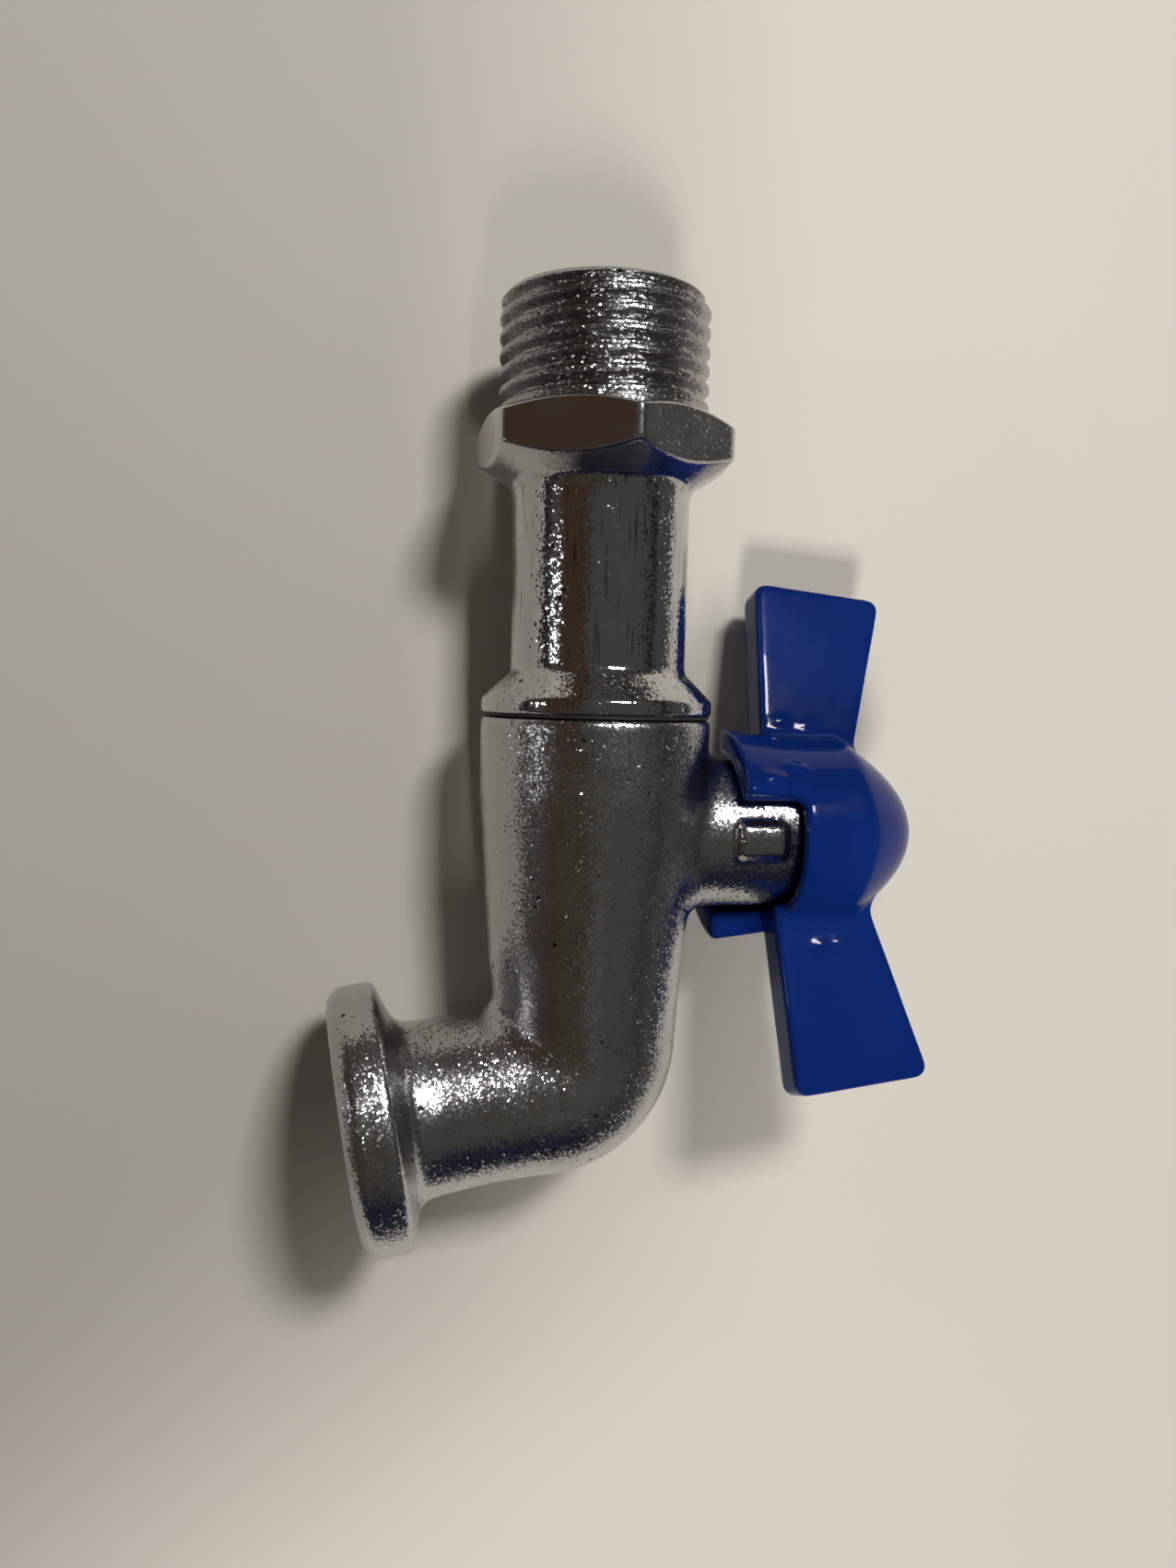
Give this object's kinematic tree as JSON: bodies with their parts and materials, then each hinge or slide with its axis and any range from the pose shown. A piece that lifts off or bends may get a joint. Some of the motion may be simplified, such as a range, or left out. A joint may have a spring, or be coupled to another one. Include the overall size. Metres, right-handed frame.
{
  "type": "angle stop valve",
  "caption": "Quarter-turn angle ball valve: male threaded inlet with hexagon and long neck, bent body with a flanged spout, and a two-wing handle on the stem.",
  "frame": {"origin": "on the inlet axis, at the hexagon's sealing shoulder where the male thread starts", "axes": "+X along the inlet axis, with the flow into the body; +Z along the stem towards the handle; the spout points towards -Z and leans 9 degrees towards +X; Y is the normal of the body's symmetry plane"},
  "size_m": [0.0955, 0.0268, 0.062],
  "materials": {
    "cast_chrome": "chrome plate over a cast surface, finely speckled",
    "polished_chrome": "chrome plate over a turned surface",
    "blue_paint": "thick glossy paint",
    "ball_chrome": "mirror polish",
    "ptfe": "waxy white",
    "rubber": "black moulded rubber",
    "brass": "turned",
    "screw_steel": "nickel plate"
  },
  "bodies": {
    "body": {"valve_body": "cast_chrome", "inlet_connector": "polished_chrome", "joint_gasket": "rubber", "seat_inlet": "ptfe", "seat_outlet": "ptfe", "thrust_washer": "ptfe"},
    "handle_stem": {"handle": "blue_paint", "handle_screw": "screw_steel", "lock_washer": "screw_steel", "stem": "brass", "ball": "ball_chrome", "stem_o_ring_lower": "rubber", "stem_o_ring_upper": "rubber"}
  },
  "joints": [
    {"name": "handle_turn", "type": "hinge", "parent": "body", "child": "handle_stem", "pos_m": [0.0413, 0, 0], "axis": [0, 0, 1], "range_deg": [-76, 14]}
  ]
}
